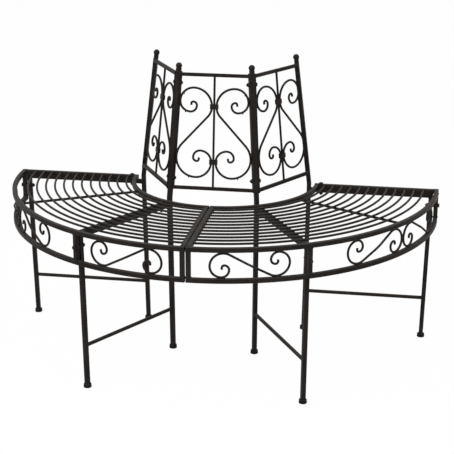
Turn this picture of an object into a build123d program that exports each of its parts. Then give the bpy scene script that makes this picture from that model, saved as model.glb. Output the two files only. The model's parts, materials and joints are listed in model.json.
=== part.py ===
"""Half-round garden bench for the foot of a tree. Two quarter-circle seat sections and three scrolled back
panels are bolted to four leg frames of square steel tube. Millimetres, +Z up: the origin is on the floor
under the middle of the bench, the rounded front is at -Y, and the straight side by the tree is at +Y."""

import os
from math import asin, atan, atan2, cos, degrees, radians, sin, sqrt

from build123d import *

# Seat
outer_radius = 600.0  # outer face of the two outer rims
inner_radius = 254.0  # face of the inner rim towards the tree
seat_height = 442.0  # top of rims and slats
skirt_depth = 92.0  # top of the upper rim to the underside of the lower rim
seam_gap = 3.0  # between the two seat sections
slat_pitch = 25.0
slat_edge_gap = 31.0  # outer rim to the middle of the outermost slat
slat_inner_gap = 14.0  # least distance from the inner rim to the middle of a slat

# Tube, bar and rod stock
tube = 12.0
tube_wall = 1.2
tube_corner = 1.6  # rounding outside
rail_bar = 9.0
rail_corner = 0.8
stile_thickness = 3.0
slat_rod = 6.0
support_rod = 7.0
scroll_rod = 6.0
centre_rod = 6.0
stretcher_rod = 10.0

# Leg frames
frame_step = 60.0  # degrees between neighbouring frames
leg_gap = 3.0  # front leg to skirt upright, at the top of the leg
leg_foot_inset = 30.0  # outer face of the rim to the middle of the front leg's foot
post_gap = 9.5  # back post to inner rim, at seat height
post_foot_inset = 7.5  # foot of the post, inwards of its bend
post_lean = 42.5  # top of the post, inwards of its bend
post_rise = 352.0  # top of the post above its bend
post_bend_radius = 60.0
stretcher_height = 119.0
finial_diameter = 17.0

# Foot caps
cap_diameter = 21.5
cap_height = 10.0
cap_floor = 3.0
cap_taper = 3.0  # degrees
cap_round = 1.0

# Back panels, measured along the lean of the panel
top_rail_drop = 15.3  # middle of the top rail, below the top of the post
bottom_rail_rise = 33.0  # middle of the bottom rail, above the bend of the post
stile_overrun = 2.0  # stile past the rails
upper_collar_drop = 84.0  # below the top rail
lower_collar_rise = 72.5  # above the bottom rail
collar_height = 13.0
collar_wall = 1.0
collar_play = 0.9  # room for the curve of the scrolls inside a collar
scroll_gap = 0.2  # centre rod to scroll, at a collar
scroll_touch = 0.15  # clearance where a scroll is welded to a stile

# Curls of the scrolls: radius of each quarter turn, as a share of the width that the curl fills
upper_curl = (0.575, 0.425, 0.325, 0.2, 0.115, 0.06)
lower_curl = (0.55, 0.45, 0.318, 0.2, 0.104, 0.06)
skirt_curl = (0.54, 0.46, 0.31, 0.19, 0.1)
upper_join = 0.46  # bend between the upper curl and the slanting run
lower_join = 0.58
curl_tip = 4.0  # straight end of every curl
skirt_scroll_spacing = 132.0  # between the middles of a skirt scroll's two curls
skirt_pair_gap = 2.0  # between the two scrolls of one skirt field
skirt_bend_radius = 150.0  # of the bend in the middle of a skirt scroll

# Bolts and nuts
bolt_diameter = 6.0
bolt_hole = 6.5
nut_bore = 6.1
hex_across = 10.0
head_height = 4.0
nut_height = 5.0
bolt_tail = 3.0  # bolt end past its nut
spacer_diameter = 11.0
top_bolt_drop = 22.5  # below the top rail
bottom_bolt_rise = 26.0  # above the bottom rail

# Levels and radii that follow from the sizes above
half_tube = tube / 2
seat_underside = seat_height - tube
bearer_underside = seat_underside - tube
lower_rim_bottom = seat_height - skirt_depth
lower_rim_top = lower_rim_bottom + tube
skirt_opening = seat_underside - lower_rim_top
skirt_middle = lower_rim_top + skirt_opening / 2
slat_bottom = seat_height - slat_rod
rim_inside = outer_radius - tube
rim_middle = outer_radius - half_tube
inner_rim_outside = inner_radius + tube
outer_slat = rim_inside - slat_edge_gap
slat_count = int((outer_slat - inner_rim_outside - slat_inner_gap) // slat_pitch) + 1
slat_radii = [outer_slat - slat_pitch * step for step in range(slat_count)]
seat_bolt_radius = (inner_rim_outside + slat_radii[-1] - slat_rod / 2) / 2
seam_middle = seam_gap / 2 + half_tube

leg_foot_radius = outer_radius - leg_foot_inset
leg_top_radius = rim_inside - leg_gap - half_tube
leg_slope = (leg_top_radius - leg_foot_radius) / bearer_underside
post_bend_height = seat_height
post_bend_middle = inner_radius - post_gap - half_tube
post_foot_slope = post_foot_inset / post_bend_height
post_half = half_tube * sqrt(1 + post_foot_slope**2)  # half the level width of the post, below its bend
post_slope = post_lean / post_rise
post_angle = atan(post_slope)

# The half circle's axis, set so that the origin is under the middle of the whole outline
axis_y = (outer_radius - half_tube - head_height) / 2
up_axis = Axis((0, axis_y, 0), (0, 0, 1))

frames = {"right_end": 0, "right_middle": -frame_step, "left_middle": frame_step - 180, "left_end": -180}
panels = {"right_panel": -frame_step / 2, "centre_panel": -90, "left_panel": frame_step / 2 - 180}
hex_radius = hex_across / sqrt(3)


def level(height):
    """Level plane about the half circle's axis."""
    return Plane(origin=(0, axis_y, height))


def radial_plane(angle):
    """Upright plane through the axis: x is the radius, y the height, and its normal points clockwise."""
    turn = radians(angle)
    return Plane(origin=(0, axis_y, 0), x_dir=(cos(turn), sin(turn), 0), z_dir=(sin(turn), -cos(turn), 0))


def facing_plane(angle, radius):
    """Upright plane that faces outwards at a radius: x runs round the bench and y is the height."""
    turn = radians(angle)
    place = (radius * cos(turn), axis_y + radius * sin(turn), 0)
    return Plane(origin=place, x_dir=(-sin(turn), cos(turn), 0), z_dir=(cos(turn), sin(turn), 0))


def polar(radius, angle):
    """Point on a level plane."""
    return (radius * cos(radians(angle)), radius * sin(radians(angle)))


def leg_at(height):
    """Radius of the front leg's middle at a height."""
    return leg_foot_radius + leg_slope * height


def post_at(height):
    """Radius of the back post's middle at a height, below and above its bend."""
    above = height - post_bend_height
    return post_bend_middle + (post_foot_slope * above if above < 0 else -post_slope * above)


def leaning_outline(middle_at, low, high, half):
    """Side view of a leaning tube, cut level at both ends."""
    return [
        (middle_at(low) - half, low),
        (middle_at(low) + half, low),
        (middle_at(high) + half, high),
        (middle_at(high) - half, high),
    ]


def outline_between(low, high):
    """Side view of the space between the back post and the front leg."""
    return [
        (post_at(low) + post_half, low),
        (leg_at(low) - half_tube, low),
        (leg_at(high) - half_tube, high),
        (post_at(high) + post_half, high),
    ]


def save(piece, name):
    """Names a finished piece and writes it."""
    piece.part.label = name
    export_step(piece.part, f"parts/{name}.step")


def mirrored(piece):
    """Twin of a piece on the left-hand half."""
    with BuildPart() as twin:
        mirror(piece.part, about=Plane.YZ)
    return twin


def save_pair(piece, name):
    """Writes a piece of the right-hand seat section and its twin on the left."""
    save(piece, f"right_{name}")
    save(mirrored(piece), f"left_{name}")


def curl(start, heading, radii, hand):
    """Draws a curl of quarter turns that ends in a short straight tip."""
    for radius in radii:
        turn = JernArc(start, heading, radius, hand * 90)
        start = turn @ 1
        heading = turn % 1
    Line(start, start + heading * curl_tip)


def scroll_slant(across, along, reach):
    """Length of the straight between the two bends of an S-scroll, and its slant in degrees."""
    run = sqrt((across - reach) ** 2 + along**2 - reach**2)
    return run, 180 - degrees(atan2(along, across - reach) + atan2(run, reach))


def s_scroll(start, heading, across, along, joins, first_curl, second_curl, hand):
    """Draws the middle line of an S-scroll. It passes its start along the heading, slants sideways by the
    distance across while it goes the distance along, and rolls up in a curl at each end."""
    run, slant = scroll_slant(across, along, sum(joins))
    first_join = JernArc(start, heading, joins[0], -hand * slant)
    diagonal = Line(first_join @ 1, first_join @ 1 + (first_join % 1) * run)
    second_join = JernArc(diagonal @ 1, diagonal % 1, joins[1], hand * slant)
    curl(second_join @ 1, second_join % 1, second_curl, hand)
    curl(first_join @ 0, -(first_join % 0), first_curl, hand)


def rod_along(route, diameter):
    """Sweeps a round rod along a wire in the active part."""
    with BuildSketch(Plane(origin=route @ 0, z_dir=route % 0)) as section:
        Circle(diameter / 2)
    sweep(section.sketch, path=route)


def long_edges(bar):
    """Edges along a bar or tube."""
    return bar.edges().filter_by(lambda edge: edge.length > 2 * tube)


os.makedirs("parts", exist_ok=True)


# Leg frames
def back_post(angle):
    """Tall square tube, bent at seat height and drilled for the panel bolts."""
    bend = (post_bend_middle, post_bend_height)
    top = (post_at(post_bend_height + post_rise), post_bend_height + post_rise)
    with BuildPart() as post:
        with BuildLine(radial_plane(angle)) as path:
            FilletPolyline((post_at(0), 0), bend, top, radius=post_bend_radius)
        route = path.wire()
        with BuildSketch(Plane(route @ 0, x_dir=radial_plane(angle).z_dir, z_dir=route % 0)):
            RectangleRounded(tube, tube, tube_corner)
            Rectangle(tube - 2 * tube_wall, tube - 2 * tube_wall, mode=Mode.SUBTRACT)
        sweep(path=route)
        split(bisect_by=level(cap_floor), keep=Keep.TOP)
        with BuildSketch(radial_plane(angle)):
            with Locations(*panel_bolt_points):
                Circle(bolt_hole / 2)
        extrude(amount=tube, both=True, mode=Mode.SUBTRACT)
    return post


def front_leg(angle):
    """Square tube from the foot cap to the underside of the bearer, drilled for the leg bolt."""
    inner = half_tube - tube_wall
    with BuildPart() as leg:
        with BuildSketch(radial_plane(angle)):
            Polygon(*leaning_outline(leg_at, cap_floor, bearer_underside, half_tube), align=None)
        extrude(amount=half_tube, both=True)
        fillet(long_edges(leg), tube_corner)
        with BuildSketch(radial_plane(angle)):
            Polygon(*leaning_outline(leg_at, cap_floor, bearer_underside, inner), align=None)
        extrude(amount=inner, both=True, mode=Mode.SUBTRACT)
        with BuildSketch(facing_plane(angle, leg_at(skirt_middle) - tube)):
            with Locations((0, skirt_middle)):
                Circle(bolt_hole / 2)
        extrude(amount=2 * tube, mode=Mode.SUBTRACT)
    return leg


def bearer(angle):
    """Square tube on top of the front leg, welded to the post and closed at its outer end."""
    end = leg_at(bearer_underside) + half_tube
    inner = half_tube - tube_wall
    low = bearer_underside + tube_wall
    high = seat_underside - tube_wall
    face = post_at(bearer_underside) + post_half
    with BuildPart() as bar:
        with BuildSketch(radial_plane(angle)):
            Polygon(
                (face, bearer_underside),
                (end, bearer_underside),
                (end, seat_underside),
                (post_at(seat_underside) + post_half, seat_underside),
                align=None,
            )
        extrude(amount=half_tube, both=True)
        fillet(long_edges(bar), tube_corner)
        with BuildSketch(radial_plane(angle)):
            Polygon(
                (face - tube, low),
                (end - tube_wall, low),
                (end - tube_wall, high),
                (face - tube, high),
                align=None,
            )
        extrude(amount=inner, both=True, mode=Mode.SUBTRACT)
        with BuildSketch(level(bearer_underside)):
            with Locations(polar(seat_bolt_radius, angle)):
                Circle(bolt_hole / 2)
        extrude(amount=tube, mode=Mode.SUBTRACT)
    return bar


def stretcher(angle):
    """Round rod between post and leg, cut to their faces."""
    with BuildPart() as rod:
        with BuildSketch(facing_plane(angle, post_at(stretcher_height))):
            with Locations((0, stretcher_height)):
                Circle(stretcher_rod / 2)
        extrude(amount=leg_at(stretcher_height) - post_at(stretcher_height))
        with BuildSketch(radial_plane(angle)):
            Polygon(*outline_between(stretcher_height - tube, stretcher_height + tube), align=None)
        extrude(amount=tube, both=True, mode=Mode.INTERSECT)
    return rod


# Where rails and bolts meet the posts: heights above the bend, from distances along the panel's lean
half_step = radians(frame_step / 2)
stile_face = half_tube + stile_thickness
panel_angle = atan(post_slope * cos(half_step))
top_rail_rise = post_rise / cos(panel_angle) - top_rail_drop
panel_bolt_rises = (bottom_rail_rise + bottom_bolt_rise, top_rail_rise - top_bolt_drop)
panel_bolt_heights = [post_bend_height + rise * cos(panel_angle) for rise in panel_bolt_rises]
panel_bolt_points = [(post_at(height), height) for height in panel_bolt_heights]

for frame, angle in frames.items():
    save(back_post(angle), f"back_post_{frame}")
    save(front_leg(angle), f"front_leg_{frame}")
    save(bearer(angle), f"bearer_{frame}")
    save(stretcher(angle), f"stretcher_{frame}")


# Foot caps and finials
def foot_cap(angle, middle_at, half):
    """Round moulded cap under a leg or post, with a square socket that follows the tube's lean."""
    with BuildPart() as cap:
        with BuildSketch(level(0)):
            with Locations(polar(middle_at(0), angle)):
                Circle(cap_diameter / 2)
        extrude(amount=cap_height, taper=cap_taper)
        edges_by_height = cap.edges().group_by(Axis.Z)
        fillet(edges_by_height[0] + edges_by_height[-1], cap_round)
        with BuildSketch(radial_plane(angle)):
            Polygon(*leaning_outline(middle_at, cap_floor, 2 * cap_height, half), align=None)
        extrude(amount=half_tube, both=True, mode=Mode.SUBTRACT)
    return cap


def ball_finial(angle):
    """Ball on top of a post, cut flat where it is as wide as the tube."""
    turn = radians(angle)
    height = post_bend_height + post_rise
    lean = (-sin(post_angle) * cos(turn), -sin(post_angle) * sin(turn), cos(post_angle))
    top = Plane(radial_plane(angle).from_local_coords((post_at(height), height, 0)), z_dir=lean)
    ball_radius = finial_diameter / 2
    ball_rise = sqrt(ball_radius**2 - half_tube**2)
    with BuildPart() as ball:
        with Locations(top.offset(ball_rise).origin):
            Sphere(ball_radius)
        split(bisect_by=top, keep=Keep.TOP)
    return ball


def save_group(pieces, name):
    """Writes like pieces as one node of separate solids."""
    with BuildPart() as group:
        add([piece.part for piece in pieces])
    save(group, name)


leg_caps = [foot_cap(angle, leg_at, half_tube) for angle in frames.values()]
post_caps = [foot_cap(angle, post_at, post_half) for angle in frames.values()]
save_group(leg_caps + post_caps, "foot_caps")
save_group([ball_finial(angle) for angle in frames.values()], "ball_finials")


# Seat sections: everything here is the right-hand one, and its twin is mirrored
def quarter_ring(outer, inner, end_inset):
    """Sketches a ring's quarter from the seam to the back face of the end bar."""
    Circle(outer)
    Circle(inner, mode=Mode.SUBTRACT)
    with Locations((seam_gap / 2, half_tube - end_inset)):
        Rectangle(outer_radius, 2 * outer_radius, align=(Align.MIN, Align.MAX), mode=Mode.INTERSECT)


def rim(outer, bottom):
    """Square tube bent to an arc, closed at its back end."""
    with BuildPart() as arc:
        with BuildSketch(level(bottom)):
            quarter_ring(outer, outer - tube, 0)
        extrude(amount=tube)
        fillet(long_edges(arc), tube_corner)
        with BuildSketch(level(bottom + tube_wall)):
            quarter_ring(outer - tube_wall, outer - tube + tube_wall, tube_wall)
        extrude(amount=tube - 2 * tube_wall, mode=Mode.SUBTRACT)
    return arc


def strip_between_rims(angle, width, sideways=0):
    """Sketches a straight strip from the inner rim to the outer rim."""
    with Locations((sideways, 0)):
        Rectangle(outer_radius, width, rotation=angle, align=(Align.MIN, Align.CENTER))
    Circle(rim_inside, mode=Mode.INTERSECT)
    Circle(inner_rim_outside, mode=Mode.SUBTRACT)


def square_bar(angle, sideways=0):
    """Square tube between the rims."""
    inner = tube - 2 * tube_wall
    with BuildPart() as bar:
        with BuildSketch(level(seat_underside)):
            strip_between_rims(angle, tube, sideways)
        extrude(amount=tube)
        fillet(long_edges(bar), tube_corner)
        with BuildSketch(level(seat_underside + tube_wall)):
            strip_between_rims(angle, inner, sideways)
        extrude(amount=inner, mode=Mode.SUBTRACT)
    return bar


save_pair(rim(outer_radius, seat_underside), "upper_rim")
save_pair(rim(outer_radius, lower_rim_bottom), "lower_rim")
save_pair(rim(inner_rim_outside, seat_underside), "inner_rim")
save_pair(square_bar(-90, seam_middle), "seam_bar")

with BuildPart() as end_bar:
    add(square_bar(0).part)
    with BuildSketch(level(seat_underside)):
        with Locations(polar(seat_bolt_radius, 0)):
            Circle(bolt_hole / 2)
    extrude(amount=tube, mode=Mode.SUBTRACT)
save_pair(end_bar, "end_bar")

with BuildPart() as cross_bar:
    with BuildSketch(level(seat_underside)):
        strip_between_rims(-frame_step, tube)
        with Locations(polar(seat_bolt_radius, -frame_step)):
            Circle(bolt_hole / 2, mode=Mode.SUBTRACT)
    extrude(amount=slat_bottom - seat_underside)
save_pair(cross_bar, "cross_bar")

with BuildPart() as support:
    with BuildSketch(facing_plane(-frame_step / 2, inner_radius)):
        with Locations((0, slat_bottom - support_rod / 2)):
            Circle(support_rod / 2)
    extrude(amount=outer_radius - inner_radius)
    with BuildSketch(level(seat_underside)):
        Circle(rim_inside)
        Circle(inner_rim_outside, mode=Mode.SUBTRACT)
    extrude(amount=tube, both=True, mode=Mode.INTERSECT)
save_pair(support, "support_rod")

with BuildPart() as slats:
    with BuildSketch(radial_plane(0)):
        with Locations(*[(radius, slat_bottom + slat_rod / 2) for radius in slat_radii]):
            Circle(slat_rod / 2)
    revolve(axis=-up_axis, revolution_arc=90)
    split(bisect_by=Plane.YZ.offset(seam_gap / 2 + tube), keep=Keep.TOP)
    split(bisect_by=radial_plane(0).offset(half_tube), keep=Keep.TOP)
save_pair(slats, "seat_slats")

upright_angles = (0, -frame_step)
with BuildPart() as uprights:
    with BuildSketch(level(lower_rim_top)):
        with Locations((seam_middle, -rim_middle)):
            RectangleRounded(tube, tube, tube_corner)
            Rectangle(tube - 2 * tube_wall, tube - 2 * tube_wall, mode=Mode.SUBTRACT)
        for angle in upright_angles:
            with Locations(polar(rim_middle, angle)):
                RectangleRounded(tube, tube, tube_corner, rotation=angle)
                Rectangle(tube - 2 * tube_wall, tube - 2 * tube_wall, rotation=angle, mode=Mode.SUBTRACT)
    extrude(amount=skirt_opening)
    for angle in upright_angles:
        with BuildSketch(facing_plane(angle, rim_inside)):
            with Locations((0, skirt_middle)):
                Circle(bolt_hole / 2)
        extrude(amount=tube, mode=Mode.SUBTRACT)
save_pair(uprights, "skirt_uprights")

# Skirt scrolls: one in the field by the seam, two in the next. Each is bent in its middle, level with the
# outer face of the rims, so that its two flat halves follow the rims
skirt_across = skirt_opening - scroll_rod
skirt_radii = [share * skirt_across for share in skirt_curl]
skirt_half = skirt_scroll_spacing / 2
skirt_bend_distance = outer_radius - scroll_rod / 2
skirt_half_turn = degrees(asin(skirt_half / skirt_bend_distance))
skirt_plane_radius = skirt_bend_distance * cos(radians(skirt_half_turn))
skirt_curl_reach = skirt_radii[0] + (scroll_rod + skirt_pair_gap) / 2
pair_turn = skirt_half_turn + degrees(atan(skirt_curl_reach / skirt_plane_radius))
seam_upright_side = degrees(atan((seam_gap / 2 + tube) / rim_middle)) - 90
middle_upright_side = -frame_step - degrees(atan(half_tube / rim_middle))
seam_field = (seam_upright_side + middle_upright_side) / 2
wide_field = -frame_step / 2


def skirt_scroll_route(angle, hand):
    """Middle line of a skirt scroll, from the tip of its upper curl to the tip of its lower one."""
    slant = scroll_slant(skirt_across, skirt_scroll_spacing, 2 * skirt_radii[0])[1]
    middle = facing_plane(angle, skirt_bend_distance).from_local_coords((0, skirt_middle, 0))
    with BuildLine(facing_plane(angle - hand * skirt_half_turn, skirt_plane_radius)) as upper_half:
        high_join = JernArc((0, seat_underside - scroll_rod / 2), (hand, 0), skirt_radii[0], -hand * slant)
        curl(high_join @ 0, -(high_join % 0), skirt_radii, hand)
    with BuildLine(facing_plane(angle + hand * skirt_half_turn, skirt_plane_radius)) as lower_half:
        low_join = JernArc((0, lower_rim_top + scroll_rod / 2), (-hand, 0), skirt_radii[0], -hand * slant)
        curl(low_join @ 0, -(low_join % 0), skirt_radii, hand)
    with BuildLine() as path:
        add(upper_half.line)
        FilletPolyline(high_join @ 1, middle, low_join @ 1, radius=skirt_bend_radius)
        add(lower_half.line)
    return path.wire()


skirt_places = ((seam_field, 1), (wide_field - pair_turn, -1), (wide_field + pair_turn, 1))
skirt_routes = [skirt_scroll_route(angle, hand) for angle, hand in skirt_places]
with BuildPart() as skirt_scrolls:
    for route in skirt_routes:
        rod_along(route, scroll_rod)
save_pair(skirt_scrolls, "skirt_scrolls")

# Back panels: each lies in a plane that meets the middle of its two stiles' faces
panel_distance = post_bend_middle * cos(half_step) + stile_face * sin(half_step)
panel_taper = post_slope * cos(panel_angle) * sin(half_step)
scroll_offset = centre_rod / 2 + scroll_gap + scroll_rod / 2
scroll_stop = scroll_rod / 2 / cos(half_step) + scroll_touch
upper_collar = top_rail_rise - upper_collar_drop
lower_collar = bottom_rail_rise + lower_collar_rise


def half_width(rise):
    """Middle of a panel to a stile's face, at a distance up the panel."""
    return post_bend_middle * sin(half_step) - stile_face * cos(half_step) - panel_taper * rise


def curl_radii(collar, shares):
    """Quarter-turn radii of a curl that fills the space between its collar and the stile."""
    width = half_width(collar) - scroll_stop - scroll_offset
    width = width / (1 + (shares[0] - shares[1]) * panel_taper)
    return [share * width for share in shares]


def panel_plane(direction):
    """Plane of a leaning panel: x runs along its rails, y up its lean, and it faces away from the tree."""
    flat = facing_plane(direction, panel_distance)
    base = flat.from_local_coords((0, post_bend_height, 0))
    front = flat.z_dir.rotate(Axis((0, 0, 0), flat.x_dir), -degrees(panel_angle))
    return Plane(base, x_dir=flat.x_dir, z_dir=front)


def rail(direction, rise):
    """Square bar from stile to stile, mitred to their faces."""
    with BuildPart() as bar:
        with BuildSketch(panel_plane(direction).offset(-rail_bar / 2)):
            with Locations((0, rise)):
                Rectangle(4 * half_width(rise), rail_bar)
        extrude(amount=rail_bar)
        fillet(long_edges(bar), rail_corner)
        split(bisect_by=radial_plane(direction + frame_step / 2).offset(stile_face), keep=Keep.TOP)
        split(bisect_by=radial_plane(direction - frame_step / 2).offset(-stile_face), keep=Keep.BOTTOM)
    return bar


def stiles(direction):
    """Two flat bars against the facing sides of the posts, drilled for the panel bolts."""
    low = post_bend_height + (bottom_rail_rise - rail_bar / 2 - stile_overrun) * cos(panel_angle)
    high = post_bend_height + (top_rail_rise + rail_bar / 2 + stile_overrun) * cos(panel_angle)
    half = half_tube / cos(post_angle)
    with BuildPart() as bars:
        for side in (1, -1):
            post_plane = radial_plane(direction + side * frame_step / 2)
            with BuildSketch(post_plane.offset(side * half_tube)):
                Polygon(*leaning_outline(post_at, low, high, half), align=None)
                with Locations(*panel_bolt_points):
                    Circle(bolt_hole / 2, mode=Mode.SUBTRACT)
            extrude(amount=side * stile_thickness)
    return bars


def panel_rod(direction):
    """Round rod up the middle of a panel, from rail to rail."""
    flat = panel_plane(direction)
    low = bottom_rail_rise + rail_bar / 2
    with BuildPart() as rod:
        with BuildSketch(Plane(flat.from_local_coords((0, low, 0)), x_dir=flat.x_dir, z_dir=flat.y_dir)):
            Circle(centre_rod / 2)
        extrude(amount=top_rail_rise - rail_bar / 2 - low)
    return rod


def panel_scrolls(direction):
    """Two mirrored S-scrolls that make a heart."""
    upper = curl_radii(upper_collar, upper_curl)
    lower = curl_radii(lower_collar, lower_curl)
    joins = (upper_join * sum(upper[:2]), lower_join * sum(lower[:2]))
    along = upper_collar - lower_collar - lower[0] + lower[1]
    with BuildPart() as pair:
        for hand in (1, -1):
            with BuildLine(panel_plane(direction)) as path:
                s_scroll(
                    (-hand * scroll_offset, upper_collar),
                    (0, -1),
                    sum(lower[:2]),
                    along,
                    joins,
                    upper,
                    lower,
                    hand,
                )
            rod_along(path.wire(), scroll_rod)
    return pair


for panel, direction in panels.items():
    save(stiles(direction), f"{panel}_stiles")
    save(rail(direction, top_rail_rise), f"{panel}_top_rail")
    save(rail(direction, bottom_rail_rise), f"{panel}_bottom_rail")
    save(panel_rod(direction), f"{panel}_centre_rod")
    save(panel_scrolls(direction), f"{panel}_scrolls")

# Collars, bands round the centre rod and both scrolls
collar_inside = 2 * (scroll_offset + scroll_rod / 2 + collar_play)
with BuildPart() as scroll_collars:
    for direction in panels.values():
        flat = panel_plane(direction)
        for rise in (lower_collar, upper_collar):
            base = flat.from_local_coords((0, rise - collar_height / 2, 0))
            with BuildSketch(Plane(base, x_dir=flat.x_dir, z_dir=flat.y_dir)):
                RectangleRounded(collar_inside + 2 * collar_wall, scroll_rod + 2 * collar_wall, collar_wall)
                Rectangle(collar_inside, scroll_rod, mode=Mode.SUBTRACT)
            extrude(amount=collar_height)
save(scroll_collars, "scroll_collars")

# Fasteners: each entry is the plane of a bolt's seat, looking out of its head, and the thickness it clamps
end_plane = radial_plane(0)
middle_plane = radial_plane(-frame_step)
panel_bolt_seats = []
for radius, height in panel_bolt_points:
    end_seat = end_plane.from_local_coords((radius, height, -half_tube))
    middle_seat = middle_plane.from_local_coords((radius, height, -stile_face))
    panel_bolt_seats.append((Plane(end_seat, z_dir=-end_plane.z_dir), half_tube + stile_face))
    panel_bolt_seats.append((Plane(middle_seat, z_dir=-middle_plane.z_dir), 2 * stile_face))

leg_bolt_seats = []
seat_bolt_seats = []
leg_inner_face = leg_at(skirt_middle - hex_radius) - half_tube
for angle, seat_top in ((0, seat_height), (-frame_step, slat_bottom)):
    outside = facing_plane(angle, outer_radius)
    leg_seat = outside.from_local_coords((0, skirt_middle, 0))
    leg_bolt_seats.append((Plane(leg_seat, z_dir=outside.z_dir), outer_radius - leg_inner_face))
    seat_point = level(seat_top).from_local_coords((*polar(seat_bolt_radius, angle), 0))
    seat_bolt_seats.append((Plane(seat_point), seat_top - bearer_underside))


def bolt(seat, clamp):
    """Hexagon bolt with its head on the seat."""
    with BuildPart() as piece:
        with BuildSketch(seat):
            RegularPolygon(hex_radius, 6)
        extrude(amount=head_height)
        with BuildSketch(seat):
            Circle(bolt_diameter / 2)
        extrude(amount=-(clamp + nut_height + bolt_tail))
    return piece


def nut(seat, clamp):
    """Nut at the far side of what a bolt clamps."""
    with BuildPart() as piece:
        with BuildSketch(seat.offset(-clamp)):
            RegularPolygon(hex_radius, 6)
            Circle(nut_bore / 2, mode=Mode.SUBTRACT)
        extrude(amount=-nut_height)
    return piece


def both_sides(seats, make):
    """Fasteners of the right-hand half and their twins."""
    right = [make(seat, clamp) for seat, clamp in seats]
    return right + [mirrored(piece) for piece in right]


save_group(both_sides(panel_bolt_seats, bolt), "panel_bolts")
save_group(both_sides(leg_bolt_seats, bolt), "leg_bolts")
save_group(both_sides(seat_bolt_seats, bolt), "seat_bolts")
save_group(both_sides(panel_bolt_seats + leg_bolt_seats + seat_bolt_seats, nut), "hex_nuts")


# Spacers on the leg bolts
def leg_sleeve(angle):
    """Sleeve between a skirt upright and the front leg, cut to the leg's lean."""
    with BuildPart() as sleeve:
        with BuildSketch(facing_plane(angle, leg_at(skirt_middle))):
            with Locations((0, skirt_middle)):
                Circle(spacer_diameter / 2)
                Circle(bolt_hole / 2, mode=Mode.SUBTRACT)
        extrude(amount=rim_inside - leg_at(skirt_middle))
        with BuildSketch(radial_plane(angle)):
            Polygon(*leaning_outline(leg_at, lower_rim_top, seat_underside, half_tube), align=None)
        extrude(amount=tube, both=True, mode=Mode.SUBTRACT)
    return sleeve


save_group([leg_sleeve(angle) for angle in frames.values()], "bolt_spacers")
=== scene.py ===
"""Finish, welds and fasteners of the half-round garden bench, and the studio that it stands in."""

import json
from math import cos, pi, radians, tan

import bpy
from bpy.props import FloatProperty, FloatVectorProperty, IntProperty, PointerProperty
from bpy.types import Operator, Panel, PropertyGroup
from mathutils import Euler, Matrix, Vector


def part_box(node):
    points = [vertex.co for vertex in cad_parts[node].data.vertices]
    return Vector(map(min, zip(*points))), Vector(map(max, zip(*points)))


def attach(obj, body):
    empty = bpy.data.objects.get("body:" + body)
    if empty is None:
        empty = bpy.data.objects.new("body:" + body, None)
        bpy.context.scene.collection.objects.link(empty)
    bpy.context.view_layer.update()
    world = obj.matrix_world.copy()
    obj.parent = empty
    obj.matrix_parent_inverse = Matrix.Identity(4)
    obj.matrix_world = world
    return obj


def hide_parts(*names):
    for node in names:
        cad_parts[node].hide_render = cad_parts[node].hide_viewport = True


bl_info = {
    "name": "Half-round garden bench",
    "version": (1, 0, 0),
    "blender": (4, 5, 0),
    "location": "View3D > Sidebar > Bench",
    "description": "Finishes the steel frame, adds welds and fasteners, and sets the studio",
    "category": "Object",
}

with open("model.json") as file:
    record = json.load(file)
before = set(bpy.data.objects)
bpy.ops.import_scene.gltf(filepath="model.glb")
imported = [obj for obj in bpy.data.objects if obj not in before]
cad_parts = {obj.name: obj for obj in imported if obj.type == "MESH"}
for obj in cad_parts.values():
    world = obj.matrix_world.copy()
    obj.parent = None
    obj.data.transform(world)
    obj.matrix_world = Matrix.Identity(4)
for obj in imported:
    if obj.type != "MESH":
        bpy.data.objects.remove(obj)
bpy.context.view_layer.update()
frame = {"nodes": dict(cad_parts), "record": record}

# Places that the welds share with the frame, in metres
end_bar_low, end_bar_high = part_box("right_end_bar")
upper_rim_low, upper_rim_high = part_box("right_upper_rim")
lower_rim_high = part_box("right_lower_rim")[1]
inner_rim_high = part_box("right_inner_rim")[1]
seam_bar_low, seam_bar_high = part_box("right_seam_bar")
slats_low, slats_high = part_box("right_seat_slats")
axis_y = (end_bar_low.y + end_bar_high.y) / 2
tube = end_bar_high.z - end_bar_low.z
seat_underside = upper_rim_low.z

# Leg frames stand at equal steps, in degrees, with a back panel half-way between each two
frame_step = 60
half_step = frame_step / 2
frame_angles = [-frame_step * place for place in range(4)]
panel_turns = {"centre_panel": 0, "right_panel": frame_step, "left_panel": -frame_step}

subparts = frame["record"]["subparts"]
coated_nodes = [piece["node"] for piece in subparts if piece["material_slot"] == "powder_coat"]


class BenchFinish(PropertyGroup):
    """Colours and textures of the finishes"""

    coat_dark: FloatVectorProperty(
        name="Coat, dark",
        description="Darker tone of the powder coat",
        subtype="COLOR",
        default=(0.0110, 0.0091, 0.0081),
    )
    coat_light: FloatVectorProperty(
        name="Coat, light",
        description="Lighter tone of the powder coat",
        subtype="COLOR",
        default=(0.0205, 0.0170, 0.0151),
    )
    # Lighter colour laid on faces that look up: a painted top light, standing in for light falling from
    # above, together with a dusting
    dust_and_top_light_colour: FloatVectorProperty(
        name="Dust and top light", description="Dust on faces that look up", subtype="COLOR", default=(0.13, 0.113, 0.1)
    )
    # How far the painted top light and dusting lighten the faces that look up
    dust_and_top_light_amount: FloatProperty(
        name="Dust amount",
        description="Most that dust hides of the coat",
        subtype="FACTOR",
        default=0.3,
        min=0,
        max=1,
    )
    bolt_steel: FloatVectorProperty(
        name="Bolt steel",
        description="Blackened steel of bolts and nuts",
        subtype="COLOR",
        default=(0.016, 0.0148, 0.0142),
    )
    foot_plastic: FloatVectorProperty(
        name="Foot plastic", description="Moulded foot caps", subtype="COLOR", default=(0.008, 0.008, 0.0082)
    )
    shine: FloatProperty(
        name="Shine", description="Strength of reflections on all finishes", subtype="FACTOR", default=0.04
    )


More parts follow.
